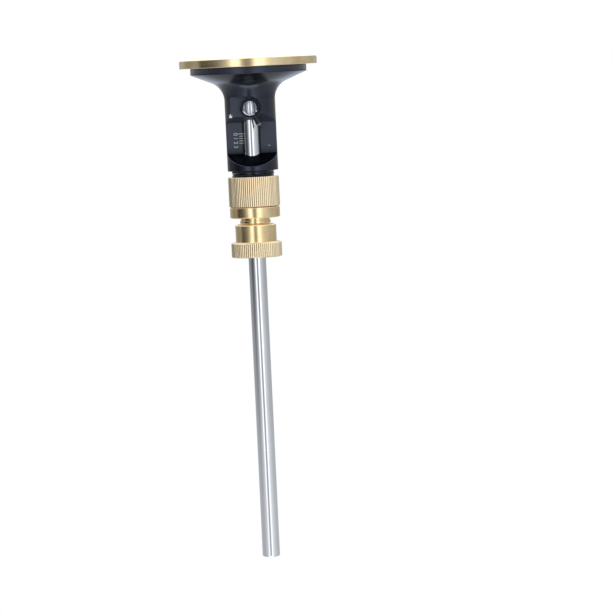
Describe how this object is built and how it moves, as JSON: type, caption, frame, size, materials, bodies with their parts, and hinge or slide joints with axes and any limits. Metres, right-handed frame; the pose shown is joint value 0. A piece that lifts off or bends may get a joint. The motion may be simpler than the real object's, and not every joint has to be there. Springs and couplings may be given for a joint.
{
  "type": "marking gauge",
  "caption": "Wheel marking gauge with a round fence, a windowed head, a knurled fine adjuster, a clamp nut, a lock lever and a round steel beam.",
  "frame": {"origin": "centre of the brass fence's flat working face, which is the bottom of the part", "axes": "+Z along the beam, away from the work; -Y out of the head's window; +X towards the open side of the lever's pocket"},
  "size_m": [0.0624, 0.0624, 0.2268],
  "materials": {
    "turned_brass": "fine turned, lightly lacquered",
    "black_anodised": "satin black anodised",
    "polished_steel": "ground and polished",
    "screw_steel": "machined",
    "tool_steel": "hardened and ground",
    "blackened_steel": "satin black oxide",
    "bronze": "plain bearing bronze",
    "rubber": "matte black"
  },
  "bodies": {
    "head": {"fence_plate": "turned_brass", "fence_screw_1": "screw_steel", "fence_screw_2": "screw_steel", "fence_screw_3": "screw_steel", "fence_screw_4": "screw_steel", "head_body": "black_anodised", "drag_o_ring": "rubber", "guide_pin": "screw_steel", "preload_spring": "screw_steel"},
    "carrier": {"collet_carrier": "turned_brass"},
    "adjuster": {"adjuster_ring": "turned_brass", "retaining_cap": "turned_brass", "thrust_washer": "bronze"},
    "collet": {"split_collet": "screw_steel"},
    "nut": {"clamp_nut": "turned_brass"},
    "beam": {"beam_rod": "polished_steel", "cutter_wheel": "tool_steel", "cutter_screw": "screw_steel"},
    "lock": {"lock_hub": "blackened_steel", "lock_lever_pin": "blackened_steel"}
  },
  "joints": [
    {"name": "fine_adjust", "type": "slide", "parent": "head", "child": "carrier", "axis": [0, 0, 1], "range_m": [-0.0023, 0.0027], "deforming": ["preload_spring"]},
    {"name": "adjuster_turn", "type": "hinge", "parent": "carrier", "child": "adjuster", "pos_m": [0, 0, 0.0604], "axis": [0, 0, 1], "range_deg": [-828, 972]},
    {"name": "collet_slide", "type": "slide", "parent": "carrier", "child": "collet", "axis": [0, 0, 1], "range_m": [0, 0.0015]},
    {"name": "clamp_nut_turn", "type": "hinge", "parent": "collet", "child": "nut", "pos_m": [0, 0, 0.0827], "axis": [0, 0, 1], "range_deg": [0, 540]},
    {"name": "beam_slide", "type": "slide", "parent": "carrier", "child": "beam", "axis": [0, 0, 1], "range_m": [-0.13, 0.001]},
    {"name": "lock_turn", "type": "hinge", "parent": "head", "child": "lock", "pos_m": [0, 0, 0.02251], "axis": [0, 1, 0], "range_deg": [0, 116]}
  ],
  "couplings": [
    {"joint": "adjuster_turn", "follows": "fine_adjust", "rad_per_m": 6283.2},
    {"joint": "clamp_nut_turn", "follows": "collet_slide", "rad_per_m": 6283.2}
  ]
}
